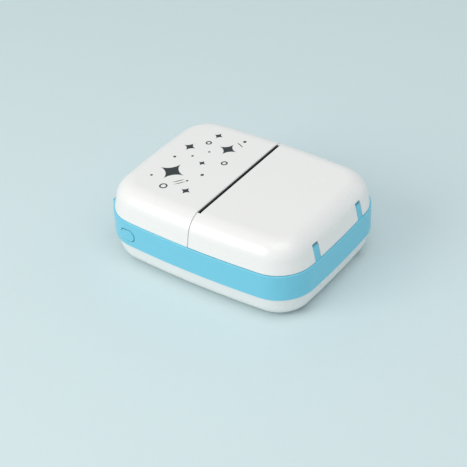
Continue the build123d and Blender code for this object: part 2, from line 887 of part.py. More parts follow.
def battery_lead():
    """Two wires from the battery up to its plug on the board."""
    low = battery_top - wire_drop
    bend_y = battery_front + wire_run
    wires = []
    for x in (plug_x - wire_pitch / 2, plug_x + wire_pitch / 2):
        path = FilletPolyline((x, battery_front, low), (x, bend_y, low), (x, bend_y, plug_level),
                              (x, plug_front, plug_level), radius=wire_bend)
        section = Plane(path @ 0, z_dir=path % 0) * Circle(wire_radius)
        wires.append(sweep(section, path=path))
    return Compound(wires)


def battery():
    """Lithium pouch cell."""
    cell = block(-battery_half, battery_half, battery_rear, battery_front, battery_low, battery_top)
    return fillet(cell.edges().filter_by(Axis.X), battery_round)


def battery_pad():
    """Foam pad that sticks the battery to the bottom shell."""
    half = battery_half - pad_margin
    return block(-half, half, battery_rear + pad_margin, battery_front - pad_margin, floor_level, battery_low)


def paper_guide():
    """Black strip under the panel's edge whose lip leads the paper out of the slot."""
    low = head_plate_high + guide_gap
    half = slot_half - guide_end_gap
    strip = block(-half, half, panel_edge, panel_edge + guide_depth, low, roof_level)
    lip = block(-half, half, panel_edge - guide_lip, panel_edge, low, body_top)
    return (strip & top_form(wall)) + (lip & top_form(slot_bevel))


def paper_tray():
    """Round-bottomed tray for the roll with a rim that lies on the band's ledges."""
    def trough(radius):
        upper = Pos(tray_y, tray_z + radius / 2) * Rectangle(2 * radius, radius)
        return Pos(tray_y, tray_z) * Circle(radius) + upper

    side_end = tray_side + tray_wall
    body = extrude(side_face(trough(tray_outer), -side_end), 2 * side_end)
    body &= block(-side_end, side_end, tray_rear, tray_front, 0, rim_top)
    space = extrude(side_face(trough(tray_inner), -tray_side), 2 * tray_side)
    rim = slab(wall + rim_gap, rim_low, rim_top)
    rim &= block(-half_width, half_width, rim_rear, rim_front, 0, body_top)
    foot = block(tray_foot_x - tray_foot_width / 2, tray_foot_x + tray_foot_width / 2,
                 tray_y - tray_foot_half, tray_y + tray_foot_half,
                 floor_level, tray_z - tray_inner - tray_wall / 2)
    tray = body + rim + pair(foot) - space
    tray -= pair(rod_z(tray_boss, 0, body_top, screw_radius))
    boss_clear = rod_z(rear_boss, 0, body_top, boss_radius + rim_gap)
    ear_half = ear_width / 2 + ear_gap + plate_thickness / 2
    ear_end = ear_depth + ear_gap - half_length
    ear_clear = block(ear_middle - ear_half, ear_middle + ear_half, -half_length, ear_end, 0, body_top)
    return tray - pair(boss_clear + ear_clear)


def tray_screws():
    """Two screws through the rim of the tray."""
    return twins(pan_screw(tray_boss, rim_top, short_screw_length, up=False))


def paper_sensor():
    """Small reflective sensor on the front wall of the tray."""
    return block(-sensor_width / 2, sensor_width / 2, tray_front, tray_front + sensor_thickness,
                 rim_top - sensor_low, rim_top - sensor_high)


def main_board():
    """Circuit board on its two columns."""
    board = slab(wall + board_clearance, board_low, board_top)
    board &= block(-board_half, board_half, board_rear, board_front, board_low, board_top)
    notch_end = switch_x + switch_gap
    board -= block(-half_width, notch_end, button_y - button_length / 2 - button_room, half_length,
                   board_low, board_top)
    return board - pair(rod_z(board_boss, board_low, board_top, screw_radius))


def board_screws():
    """Two screws that hold the board."""
    return twins(pan_screw(board_boss, board_top, short_screw_length, up=False))


def board_chips():
    """Processor, motor driver, flash memory and the can of the radio module."""
    rear = board_rear + chip_gap
    chips = []
    for middle, width, depth, height in (processor, motor_driver, flash_memory, radio_can):
        chips.append(block(middle - width / 2, middle + width / 2, rear, rear + depth,
                           board_top, board_top + height))
    return Compound(chips)


def usb_socket():
    """Steel shell of the charging port, with its tongue."""
    start = board_half + usb_overhang - usb_depth
    place = Pos(usb_y, port_z)
    shell = extrude(side_face(place * SlotOverall(usb_width, usb_height), start), usb_depth)
    mouth = SlotOverall(usb_width - 2 * usb_shell, usb_height - 2 * usb_shell)
    shell -= extrude(side_face(place * mouth, start + usb_back), usb_depth)
    return shell + block(start, start + usb_depth - tongue_setback, usb_y - tongue_half, usb_y + tongue_half,
                         port_z - tongue_thickness / 2, port_z + tongue_thickness / 2)


def status_light():
    """Clear light pipe from the board's lamp to the right side."""
    pipe_start = board_half - lamp_inset
    pipe = rod_x(light_y, port_z, pipe_start, band_side, light_radius)
    pipe &= slab(-band_standout, band_bottom, band_top)
    return pipe + block(pipe_start - lamp_depth, pipe_start, light_y - lamp_half, light_y + lamp_half,
                        board_top, port_z + lamp_half)


def power_switch():
    """Push switch on the left edge of the board."""
    body_start = switch_x + plunger_length
    sides = (button_y - switch_width / 2, button_y + switch_width / 2)
    body = block(body_start, body_start + switch_depth, *sides, board_top, board_top + switch_height)
    return body + rod_x(button_y, board_top + switch_height / 2, switch_x, body_start, plunger_radius)


def power_button():
    """Blue stadium-shaped cap with a flange behind the wall."""
    face = Pos(button_y, button_z) * SlotOverall(button_length, button_height)
    cap = extrude(side_face(face, -body_width), body_width + button_back)
    cap &= slab(-band_standout - button_proud, band_bottom, band_top)
    flange = SlotOverall(button_length + 2 * button_flange, button_height + 2 * button_flange)
    flange = side_face(Pos(button_y, button_z) * flange, button_back - button_flange_thickness)
    return cap + extrude(flange, button_flange_thickness)


def shell_screws():
    """Four screws that hold the bottom shell to the band."""
    screws = [pan_screw(place, shell_screw_seat, shell_screw_length) for place in (front_boss, rear_boss)]
    return Compound(screws + [mirrored(screw) for screw in screws])


def panel_screws():
    """Two screws up through the band's corner webs into the face panel."""
    return twins(pan_screw(panel_boss, web_low, short_screw_length))


def holder_screws():
    """Two screws that hold the platen holder under the cover."""
    return twins(pan_screw(holder_boss, holder_low, roof_level + wall / 2 - holder_low))


def rubber_feet():
    """Four round rubber feet in their recesses."""
    feet = []
    for x in (-foot_x, foot_x):
        for y in (-foot_y, foot_y):
            foot = rod_z((x, y), 0, base_level + foot_recess, foot_radius)
            feet.append(fillet(foot.edges().group_by(Axis.Z)[0], edge_round))
    return Compound(feet)


pieces = [
    bottom_shell, mid_frame, face_panel, paper_cover, hinge_pins, platen_holder, holder_screws, tear_blade,
    platen_bushes, platen_shaft, platen_rubber, platen_gear, idler_gear, idler_post, idler_clip,
    stepper_motor, motor_shaft, motor_pinion, motor_screws, motor_lead, mechanism_frame, mechanism_screws,
    head_plate, thermal_head, head_pin, head_springs, head_ribbon, paper_guide, paper_tray, tray_screws,
    paper_sensor, main_board, board_screws, board_chips, board_sockets, usb_socket, status_light,
    power_switch, power_button, battery, battery_pad, battery_lead, battery_plug, shell_screws,
    panel_screws, rubber_feet,
]

os.makedirs("parts", exist_ok=True)
for piece in pieces:
    export_step(piece(), f"parts/{piece.__name__}.step")
    print(piece.__name__)
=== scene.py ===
import math

import bmesh
import bpy
from mathutils import Matrix, Vector


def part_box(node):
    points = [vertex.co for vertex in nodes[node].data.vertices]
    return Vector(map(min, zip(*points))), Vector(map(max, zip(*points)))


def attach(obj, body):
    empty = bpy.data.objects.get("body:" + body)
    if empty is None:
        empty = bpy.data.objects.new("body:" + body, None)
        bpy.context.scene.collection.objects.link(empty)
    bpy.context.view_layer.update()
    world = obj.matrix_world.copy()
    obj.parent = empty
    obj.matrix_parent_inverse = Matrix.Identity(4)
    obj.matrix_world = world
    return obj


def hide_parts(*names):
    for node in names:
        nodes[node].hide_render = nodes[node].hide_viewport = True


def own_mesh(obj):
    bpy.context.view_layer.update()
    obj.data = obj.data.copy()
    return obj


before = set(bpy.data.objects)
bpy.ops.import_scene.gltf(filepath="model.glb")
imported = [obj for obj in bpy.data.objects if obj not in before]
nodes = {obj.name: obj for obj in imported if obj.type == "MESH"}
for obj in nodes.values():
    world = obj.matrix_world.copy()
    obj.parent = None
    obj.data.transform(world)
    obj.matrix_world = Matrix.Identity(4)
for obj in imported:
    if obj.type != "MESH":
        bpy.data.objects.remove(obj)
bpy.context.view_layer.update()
mm = 0.001
print("frame loaded:", len(nodes), "nodes")


# Small helpers

def linearColour(hexCode):
    # sRGB hex to the linear values that the shaders want
    channels = [int(hexCode[i:i + 2], 16) / 255 for i in (0, 2, 4)]
    linear = [c / 12.92 if c <= 0.04045 else ((c + 0.055) / 1.055) ** 2.4 for c in channels]
    return (*linear, 1.0)


def addNode(tree, kind, settings=None, links=None):
    # settings: attributes or unlinked sockets; links: socket -> output, or a node for its first output
    node = tree.nodes.new("ShaderNode" + kind)
    for key, value in (settings or {}).items():
        if isinstance(key, int) or key in node.inputs:
            node.inputs[key].default_value = value
        else:
            setattr(node, key, value)
    for key, source in (links or {}).items():
        output = source.outputs[0] if isinstance(source, bpy.types.Node) else source
        tree.links.new(output, node.inputs[key])
    return node


def linkObject(name, data):
    thing = bpy.data.objects.new(name, data)
    bpy.context.scene.collection.objects.link(thing)
    return thing


# Materials. A look holds the shader's uniform values, grains of soft noise with their size in millimetres,
# the two colours that the colour grain runs between, the roughness range, and the relief and edge radius
# in millimetres. A draw function makes a pattern that isn't grain.

usual = {"detail": 2.0, "noiseRoughness": 0.55, "roughnessFrom": (0.3, 0.7), "bevelSamples": 6}


def newMaterial(look):
    material = bpy.data.materials.new(look["name"])
    material.use_nodes = True
    tree = material.node_tree
    tree.nodes.clear()
    shader = addNode(tree, "BsdfPrincipled", look["sockets"])
    output = addNode(tree, "OutputMaterial", None, {"Surface": shader})
    place = addNode(tree, "TexCoord").outputs["Object"]
    dressSurface(tree, shader, place, look)
    return material, tree, shader, place, output


def dressSurface(tree, shader, place, look):
    # roughness and relief have a pattern of their own, or else they follow the colour's
    patterns = look["draw"](tree, place) if "draw" in look else {}
    for use, grain in look.get("grains", {}).items():
        spot = place
        if "stretch" in grain:  # a squeezed space turns noise into lines
            spot = addNode(tree, "VectorMath", {"operation": "MULTIPLY", 1: grain["stretch"]}, {0: place})
        noise = {"Scale": 1 / (grain["size"] * mm), "Detail": grain.get("detail", usual["detail"]),
                 "Roughness": usual["noiseRoughness"]}
        patterns[use] = addNode(tree, "TexNoise", noise, {"Vector": spot}).outputs[0]
    if "colours" in look:
        mask = patterns["colour"]
        if "contrast" in look:
            start, end = look["contrast"]
            mask = addNode(tree, "MapRange", {"From Min": start, "From Max": end}, {"Value": mask})
        first, second = (linearColour(colour) for colour in look["colours"])
        colour = addNode(tree, "Mix", {"data_type": "RGBA", 6: first, 7: second}, {0: mask}).outputs[2]
        if "ink" in look:
            inked = {"data_type": "RGBA", 7: linearColour(look["ink"])}
            colour = addNode(tree, "Mix", inked, {0: patterns["ink"], 6: colour}).outputs[2]
        tree.links.new(colour, shader.inputs["Base Color"])
    if "roughness" in look:
        low, high = look["roughness"]
        start, end = look.get("roughnessFrom", usual["roughnessFrom"])
        limits = {"From Min": start, "From Max": end, "To Min": low, "To Max": high}
        sheen = addNode(tree, "MapRange", limits, {"Value": patterns.get("sheen", patterns.get("colour"))})
        tree.links.new(sheen.outputs[0], shader.inputs["Roughness"])
    if "depth" in look:
        raised = {"Strength": 1.0, "Distance": look["depth"] * mm}
        bump = addNode(tree, "Bump", raised, {"Height": patterns.get("relief", patterns.get("colour"))})
        if "edge" in look:
            rounded = {"samples": usual["bevelSamples"], "Radius": look["edge"] * mm}
            tree.links.new(addNode(tree, "Bevel", rounded).outputs[0], bump.inputs["Normal"])
        tree.links.new(bump.outputs[0], shader.inputs["Normal"])


# Moulded ABS casings: satin gloss, with a faint spark-eroded grain that softens the reflections, and a
# sheen that drifts slowly across each shell. The grain is really about 0.1 mm and is drawn coarser, so
# that it shows at 0.45 mm to a pixel.

absSockets = {"IOR": 1.53, "Specular IOR Level": 0.5, "Coat Weight": 0.12, "Coat Roughness": 0.12}
absGrains = {"colour": {"size": 0.8, "detail": 3.0}, "sheen": {"size": 28.0, "detail": 1.0},
             "relief": {"size": 0.5}}
whiteAbs = {"name": "moulded ABS, white", "wornBy": "bottom_shell paper_cover", "sockets": absSockets,
            "grains": absGrains, "colours": ("f3f2f1", "f0efee"), "roughness": (0.21, 0.33),
            "roughnessFrom": (0.0, 1.0), "depth": 0.0002}
blueAbs = {"name": "moulded ABS, light blue", "wornBy": "mid_frame power_button", "sockets": absSockets,
           "grains": absGrains, "colours": ("76cde6", "72cbe5"), "roughness": (0.24, 0.36),
           "roughnessFrom": (0.0, 1.0), "depth": 0.0002, "edge": 0.3}


# Pad-printed pattern on the face panel, in millimetres on its top

printDesign = {
    "lowest": 36.9,  # ink lies on the flat top only
    "stars": [(-11.5, 28.5, 6.6), (15.5, 17.5, 4.7), (8.5, 33.5, 3.3), (-20.5, 14.5, 2.7),
              (22.5, 27.5, 2.5), (0.5, 21.0, 2.1)],  # x, y, reach of the points
    "starPower": 0.6,  # under 1, the sides are hollow
    "rings": [(-22.5, 25.0, 1.5), (5.5, 12.5, 1.2), (15.5, 28.0, 1.1)],  # x, y, radius
    "dots": [(-1.5, 34.5, 0.7), (24.5, 14.5, 0.8), (-7.0, 15.5, 0.8), (3.0, 28.0, 0.6),
             (-14.0, 18.5, 0.55), (-18.5, 34.5, 0.6), (9.5, 23.5, 0.55)],  # x, y, radius
    "arcs": [(-11.5, 28.5, 8.2, 236.0, 12.0), (-11.5, 28.5, 9.9, 236.0, 8.0),
             (15.5, 17.5, 6.3, -25.0, 13.0)],  # x, y, radius, heading and half angle in degrees
    "stroke": 0.7,
}


def drawPrint(tree, place):
    # 1 where the panel is inked: four-pointed stars, rings, dots and a few short curved strokes
    toMillimetres = {"operation": "MULTIPLY", 1: (1 / mm, 1 / mm, 0.0)}
    point = addNode(tree, "VectorMath", toMillimetres, {0: place})
    power = printDesign["starPower"]
    marks = []
    for kind in ("stars", "dots", "rings", "arcs"):
        for x, y, size, *angles in printDesign[kind]:
            offset = addNode(tree, "VectorMath", {"operation": "SUBTRACT", 1: (x, y, 0)}, {0: point})
            if kind == "stars":
                reach = addNode(tree, "VectorMath", {"operation": "ABSOLUTE"}, {0: offset})
                sides = addNode(tree, "SeparateXYZ", None, {0: reach}).outputs
                across = addNode(tree, "Math", {"operation": "POWER", 1: power}, {0: sides[0]})
                along = addNode(tree, "Math", {"operation": "POWER", 1: power}, {0: sides[1]})
                total = addNode(tree, "Math", {"operation": "ADD"}, {0: across, 1: along})
                mark = addNode(tree, "Math", {"operation": "LESS_THAN", 1: size ** power}, {0: total})
            else:
                away = addNode(tree, "VectorMath", {"operation": "LENGTH"}, {0: offset}).outputs["Value"]
                disc = {"operation": "LESS_THAN", 1: size}
                line = {"operation": "COMPARE", 1: size, 2: printDesign["stroke"] / 2}
                mark = addNode(tree, "Math", disc if kind == "dots" else line, {0: away})
            if kind == "arcs":
                heading, halfAngle = (math.radians(angle) for angle in angles)
                middle = {"operation": "DOT_PRODUCT", 1: (math.cos(heading), math.sin(heading), 0)}
                towards = addNode(tree, "VectorMath", middle, {0: offset}).outputs["Value"]
                ends = {"operation": "GREATER_THAN", 1: size * math.cos(halfAngle)}
                near = addNode(tree, "Math", ends, {0: towards})
                mark = addNode(tree, "Math", {"operation": "MULTIPLY"}, {0: mark, 1: near})
            marks.append(mark)
    mask = marks[0]
    for mark in marks[1:]:
        mask = addNode(tree, "Math", {"operation": "MAXIMUM"}, {0: mask, 1: mark})
    height = addNode(tree, "SeparateXYZ", None, {0: place}).outputs[2]
    above = addNode(tree, "Math", {"operation": "GREATER_THAN", 1: printDesign["lowest"] * mm}, {0: height})
    ink = addNode(tree, "Math", {"operation": "MULTIPLY"}, {0: mask, 1: above}).outputs[0]
    return {"ink": ink, "sheen": ink}


# The face panel is the white casing with a satin black print, which is duller than the plastic
printedAbs = {"name": "moulded ABS, white, pad printed", "wornBy": "face_panel", "sockets": absSockets,
              "draw": drawPrint, "grains": {"colour": absGrains["colour"], "relief": absGrains["relief"]},
              "colours": whiteAbs["colours"], "ink": "0c0c0d", "roughness": (0.27, 0.4),
              "roughnessFrom": (0.0, 1.0), "depth": 0.0002}


# Inner plastics

# Tray: pale ABS with a coarser eroded grain, no shine
mattAbs = {"name": "moulded ABS, matt grey-white", "wornBy": "paper_tray", "sockets": {"IOR": 1.53},
           "grains": {"colour": {"size": 0.6, "detail": 3.0}}, "colours": ("d9dcdd", "e3e5e5"),
           "roughness": (0.5, 0.62), "depth": 0.012, "edge": 0.15}

# Black glass-filled nylon: dull, with pale fibre flecks drawn thicker than their real 0.01 mm
glassNylon = {"name": "moulded nylon, glass filled", "sockets": {"IOR": 1.53},
              "wornBy": "platen_holder mechanism_frame paper_guide paper_sensor power_switch",
              "grains": {"colour": {"size": 0.18, "detail": 4.0, "stretch": (1.0, 0.3, 1.0)},
                         "relief": {"size": 0.3}},
              "colours": ("1a1b1d", "33353a"), "contrast": (0.55, 0.75), "roughness": (0.42, 0.6),
              "depth": 0.01, "edge": 0.12}

# Gears and bushes: waxy off-white acetal, light soaks in a little
acetal = {"name": "moulded acetal", "wornBy": "platen_gear idler_gear platen_bushes",
          "sockets": {"IOR": 1.48, "Roughness": 0.38, "Subsurface Weight": 0.15,
                      "Subsurface Radius": (0.001, 0.0008, 0.0006)},
          "grains": {"colour": {"size": 3.0}, "relief": {"size": 0.4}}, "colours": ("e9e6dc", "f3f1e9"),
          "depth": 0.004, "edge": 0.08}

# Light pipe: clear acrylic, slightly frosted at the end
clearAcrylic = {"name": "moulded acrylic, clear", "wornBy": "status_light",
                "sockets": {"Base Color": linearColour("f4fbff"), "IOR": 1.49, "Transmission Weight": 0.9},
                "grains": {"sheen": {"size": 0.2}}, "roughness": (0.12, 0.3)}


# Metals

# Pins and shafts: fine grinding rings, really 0.02 mm, round the axis, which runs along X
groundSteel = {"name": "ground steel", "sockets": {"Metallic": 1.0},
               "wornBy": "hinge_pins platen_shaft idler_post head_pin motor_shaft",
               "grains": {"colour": {"size": 0.12, "detail": 3.0, "stretch": (1.0, 0.05, 0.05)}},
               "colours": ("a9abad", "c6c8ca"), "roughness": (0.2, 0.34), "depth": 0.002, "edge": 0.06}

# Screws: bright zinc with the faint bluish and straw tints of passivation
zincPlate = {"name": "zinc-plated steel", "sockets": {"Metallic": 1.0},
             "grains": {"colour": {"size": 1.4, "detail": 3.0}, "sheen": {"size": 0.2, "detail": 4.0},
                        "relief": {"size": 0.25, "detail": 4.0}},
             "colours": ("a8b0b8", "c9c7bd"), "roughness": (0.24, 0.42), "depth": 0.004}

# Blade, clip and coils: rolled strip with long fine scratches, drawn coarser than their real 0.02 mm
springSteel = {"name": "rolled spring steel", "wornBy": "tear_blade idler_clip head_springs",
               "sockets": {"Metallic": 1.0},
               "grains": {"colour": {"size": 0.14, "detail": 3.0, "stretch": (0.04, 1.0, 1.0)}},
               "colours": ("8f9193", "bcbfc2"), "roughness": (0.22, 0.4), "depth": 0.003, "edge": 0.05}

# Motor can and port shell: deep-drawn and nickel plated, warm and bright with faint draw lines
nickelPlate = {"name": "nickel-plated steel", "wornBy": "stepper_motor usb_socket",
               "sockets": {"Metallic": 1.0},
               "grains": {"colour": {"size": 2.5, "detail": 3.0},
                          "relief": {"size": 0.2, "stretch": (0.1, 1.0, 1.0)}},
               "colours": ("bab6ad", "cfcbc2"), "roughness": (0.2, 0.32), "depth": 0.002, "edge": 0.1}

# Pinion: hobbed brass with cutter lines along the teeth
machinedBrass = {"name": "machined brass", "wornBy": "motor_pinion", "sockets": {"Metallic": 1.0},
                 "grains": {"colour": {"size": 0.1, "stretch": (0.1, 1.0, 1.0)}},
                 "colours": ("b8924a", "d9b86c"), "roughness": (0.22, 0.36), "depth": 0.003, "edge": 0.05}

# Heat sink of the print head: rolled sheet, brushed along X
stampedAluminium = {"name": "stamped aluminium", "wornBy": "head_plate", "sockets": {"Metallic": 1.0},
                    "grains": {"colour": {"size": 0.15, "detail": 4.0, "stretch": (0.03, 1.0, 1.0)}},
                    "colours": ("b9bcbe", "dcdfe0"), "roughness": (0.28, 0.46), "depth": 0.004,
                    "edge": 0.1}


# Rubber

# Platen: black rubber ground to size, dull with rings from the wheel
groundRubber = {"name": "ground silicone rubber", "wornBy": "platen_rubber", "sockets": {"IOR": 1.41},
                "grains": {"colour": {"size": 0.2, "detail": 4.0, "stretch": (1.0, 0.15, 0.15)}},
                "colours": ("1c1c1d", "2b2b2c"), "roughness": (0.62, 0.8), "depth": 0.012, "edge": 0.15}

# Feet: grey rubber, slightly shiny where they have rubbed
mouldedRubber = {"name": "moulded rubber, grey", "wornBy": "rubber_feet", "sockets": {"IOR": 1.5},
                 "grains": {"colour": {"size": 0.5, "detail": 4.0}, "sheen": {"size": 3.0}},
                 "colours": ("4b4d50", "5d5f62"), "roughness": (0.5, 0.72), "depth": 0.02}


# Electrics

electricSizes = {  # in millimetres, but for the blur of a track's edge
    "heaterHalf": 0.45, "conductorPitch": 1.2566, "foamCell": 0.5,
    "trackTile": 9.0, "trackWidth": 0.27, "trackLength": 4.5, "trackPitch": 1.17, "trackBlur": 0.4,
}


def drawHeaterLine(tree, place):
    low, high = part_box("thermal_head")
    centred = addNode(tree, "VectorMath", {"operation": "SUBTRACT", 1: (low + high) / 2}, {0: place})
    height = addNode(tree, "SeparateXYZ", None, {0: centred}).outputs[2]
    line = {"operation": "COMPARE", 1: 0.0, 2: electricSizes["heaterHalf"] * mm}
    return {"colour": addNode(tree, "Math", line, {0: height}).outputs[0]}


def drawConductors(tree, place):
    scale = math.pi / 10 / (electricSizes["conductorPitch"] * mm)  # bands repeat every pi / 10 over scale
    wave = {"wave_type": "BANDS", "bands_direction": "X", "Scale": scale, "Distortion": 0.0}
    return {"colour": addNode(tree, "TexWave", wave, {"Vector": place}).outputs[1]}


def drawTracks(tree, place):
    # the mortar of a brick pattern makes the tracks
    tile = electricSizes["trackTile"]
    brick = {"Scale": 1 / (tile * mm), "Mortar Size": electricSizes["trackWidth"] / tile,
             "Mortar Smooth": electricSizes["trackBlur"], "Brick Width": electricSizes["trackLength"] / tile,
             "Row Height": electricSizes["trackPitch"] / tile}
    return {"colour": addNode(tree, "TexBrick", brick, {"Vector": place}).outputs["Fac"]}


def drawFoamCells(tree, place):
    cells = {"Scale": 1 / (electricSizes["foamCell"] * mm)}
    return {"colour": addNode(tree, "TexVoronoi", cells, {"Vector": place}).outputs[0]}


def drawWirePair(tree, place):
    # 1 on the right-hand wire of the pair
    low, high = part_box("battery_lead")
    across = addNode(tree, "SeparateXYZ", None, {0: place}).outputs[0]
    right = {"operation": "GREATER_THAN", 1: (low.x + high.x) / 2}
    return {"colour": addNode(tree, "Math", right, {0: across}).outputs[0]}


# Print head strip: pale glaze with the dark heater line along it
glazedCeramic = {"name": "glazed alumina", "wornBy": "thermal_head", "draw": drawHeaterLine,
                 "sockets": {"IOR": 1.6, "Roughness": 0.12, "Coat Weight": 0.4, "Coat Roughness": 0.05},
                 "grains": {"relief": {"size": 1.2}}, "colours": ("cfc8b8", "4a3c30"), "depth": 0.003,
                 "edge": 0.08}

# Polyester flat cable: tinned conductors show through the white film
stripedCable = {"name": "polyester flat cable", "wornBy": "head_ribbon motor_lead",
                "draw": drawConductors, "sockets": {"IOR": 1.57, "Coat Weight": 0.3, "Coat Roughness": 0.1},
                "colours": ("e4e3de", "b3b1a8"), "contrast": (0.35, 0.65), "roughness": (0.3, 0.45),
                "roughnessFrom": (0.0, 1.0), "depth": 0.02}

# Board: green lacquer over copper tracks that stand slightly proud
solderMask = {"name": "solder mask over glass fibre", "wornBy": "main_board", "draw": drawTracks,
              "sockets": {"IOR": 1.5, "Coat Weight": 0.5, "Coat Roughness": 0.12},
              "grains": {"sheen": {"size": 1.0}}, "colours": ("0f5a34", "2f8a52"),
              "roughness": (0.3, 0.42), "depth": 0.03}

# Chip bodies: dull black epoxy with the fine texture of its mould
mouldedEpoxy = {"name": "moulded epoxy", "wornBy": "board_chips", "sockets": {"IOR": 1.55},
                "grains": {"colour": {"size": 0.15, "detail": 4.0}}, "colours": ("17181a", "242528"),
                "roughness": (0.55, 0.7), "depth": 0.008, "edge": 0.1}

# Cable sockets: unfilled nylon, slightly translucent and creamy
creamNylon = {"name": "moulded nylon, cream", "wornBy": "board_sockets battery_plug",
              "sockets": {"IOR": 1.53, "Subsurface Weight": 0.1,
                          "Subsurface Radius": (0.001, 0.0008, 0.0005)},
              "grains": {"colour": {"size": 1.5}, "relief": {"size": 0.3}},
              "colours": ("ddd6c3", "ece7d8"), "roughness": (0.4, 0.55), "depth": 0.006, "edge": 0.08}

# Battery: laminated foil with soft wrinkles
pouchFoil = {"name": "laminated foil pouch", "wornBy": "battery", "sockets": {"Metallic": 0.85},
             "grains": {"colour": {"size": 5.0, "detail": 4.0}}, "colours": ("a9adb2", "cdd1d4"),
             "roughness": (0.3, 0.44), "depth": 0.25}

# Battery pad: open-cell foam
foamTape = {"name": "foam tape", "wornBy": "battery_pad", "draw": drawFoamCells,
            "sockets": {"IOR": 1.45, "Roughness": 0.95}, "colours": ("3a3b3d", "5b5d60"), "depth": 0.12}

# Battery lead: one black and one red insulated wire
pvcWires = {"name": "PVC insulation", "wornBy": "battery_lead", "draw": drawWirePair,
            "sockets": {"IOR": 1.53, "Roughness": 0.42}, "grains": {"relief": {"size": 0.6}},
            "colours": ("1d1d1f", "b3171c"), "depth": 0.01}

for look in (whiteAbs, blueAbs, printedAbs, mattAbs, glassNylon, acetal, clearAcrylic, groundSteel,
             springSteel, nickelPlate, machinedBrass, stampedAluminium, groundRubber, mouldedRubber,
             glazedCeramic, stripedCable, solderMask, mouldedEpoxy, creamNylon, pouchFoil, foamTape,
             pvcWires):
    material = newMaterial(look)[0]
    for name in look["wornBy"].split():
        for slot in nodes[name].material_slots:
            slot.material = material
print("finishes on the CAD nodes")


# Screws: domed heads with a cross recess and a cut thread, in place of the plain ones, in millimetres

screwShape = {
    "around": 40, "shankAround": 20,  # faces round the head and the shank
    "domeShare": 0.45, "domeSteps": 5, "domePower": 0.6, "rimRound": 0.08,
    "crossArm": 0.32, "crossShare": 0.62, "crossDepth": 0.75, "crossTaper": 0.35,
    "cutterAbove": 0.3, "cutterStraight": 0.15,
    "pitch": 0.8, "rowsPerTurn": 8, "threadDepth": 0.22, "flankSlope": 2.6,
    "tipTurns": 1.5, "tipShare": 0.35,
    "apart": 4.5, "levelBand": 0.05, "smoothAngle": 35,
}
screwSets = {  # axis, body that they ride on and height of the head
    "shell_screws": (2, "base", 1.2), "panel_screws": (2, "base", 1.2), "mechanism_screws": (2, "base", 1.2),
    "tray_screws": (2, "base", 1.2), "board_screws": (2, "base", 1.2), "motor_screws": (0, "base", 1.0),
    "holder_screws": (2, "cover", 1.2),
}
zinc = newMaterial(zincPlate)[0]


def skinRings(shape, rings):
    # walls between rings of as many points, and a cap at each end
    count = len(rings[0])
    for upper, lower in zip(rings, rings[1:]):
        for here in range(count):
            after = (here + 1) % count
            shape.faces.new((upper[here], upper[after], lower[after], lower[here]))
    shape.faces.new(rings[0])
    shape.faces.new(list(reversed(rings[-1])))


def turnHead(radius, height):
    # solid of revolution: a rim, then a dome that flattens towards the middle
    dome = height * screwShape["domeShare"]
    rim, steps = screwShape["rimRound"], screwShape["domeSteps"]
    profile = [(radius - rim, 0), (radius, rim), (radius, height - dome)]
    for step in range(1, steps):
        angle = math.pi / 2 * step / steps
        profile.append((radius * math.cos(angle) ** screwShape["domePower"],
                        height - dome + dome * math.sin(angle)))
    around = screwShape["around"]
    angles = [2 * math.pi * side / around for side in range(around)]
    shape = bmesh.new()
    rings = []
    for reach, level in profile:
        rings.append([shape.verts.new((reach * math.cos(a), reach * math.sin(a), level)) for a in angles])
    for ring, above in zip(rings, rings[1:]):
        for here in range(around):
            after = (here + 1) % around
            shape.faces.new((ring[here], ring[after], above[after], above[here]))
    for ring, level in ((rings[0], 0), (rings[-1], height)):
        pole = shape.verts.new((0, 0, level))
        for here in range(around):
            shape.faces.new((ring[here], ring[(here + 1) % around], pole))
    bmesh.ops.recalc_face_normals(shape, faces=shape.faces)
    return shape


def crossCutter(top, reach):
    # tapered cross that a screwdriver bites in
    arm, straight = screwShape["crossArm"], screwShape["cutterStraight"]
    outline = [(arm, reach), (-arm, reach), (-arm, arm), (-reach, arm), (-reach, -arm), (-arm, -arm),
               (-arm, -reach), (arm, -reach), (arm, -arm), (reach, -arm), (reach, arm), (arm, arm)]
    levels = ((1.0, top + screwShape["cutterAbove"]), (1.0, top - straight),
              (screwShape["crossTaper"], top - screwShape["crossDepth"]))
    shape = bmesh.new()
    rings = []
    for share, level in levels:
        rings.append([shape.verts.new((x * share, y * share, level)) for x, y in outline])
    skinRings(shape, rings)
    bmesh.ops.recalc_face_normals(shape, faces=shape.faces)
    return shape


def cutThread(shape, radius, length):
    # helical thread: the radius follows how far each point is along the pitch, and the tip tapers
    around, pitch = screwShape["shankAround"], screwShape["pitch"]
    rows = max(2, int(length / pitch * screwShape["rowsPerTurn"]))
    rings = []
    for row in range(rows + 1):
        down = length * row / rows
        taper = min(1.0, (length - down) / (screwShape["tipTurns"] * pitch) + screwShape["tipShare"])
        ring = []
        for side in range(around):
            phase = (down / pitch + side / around) % 1
            depth = screwShape["threadDepth"] * min(1.0, screwShape["flankSlope"] * abs(phase - 0.5))
            reach = (radius - depth) * taper
            angle = 2 * math.pi * side / around
            ring.append(shape.verts.new((reach * math.cos(angle), reach * math.sin(angle), -down)))
        rings.append(ring)
    skinRings(shape, rings)


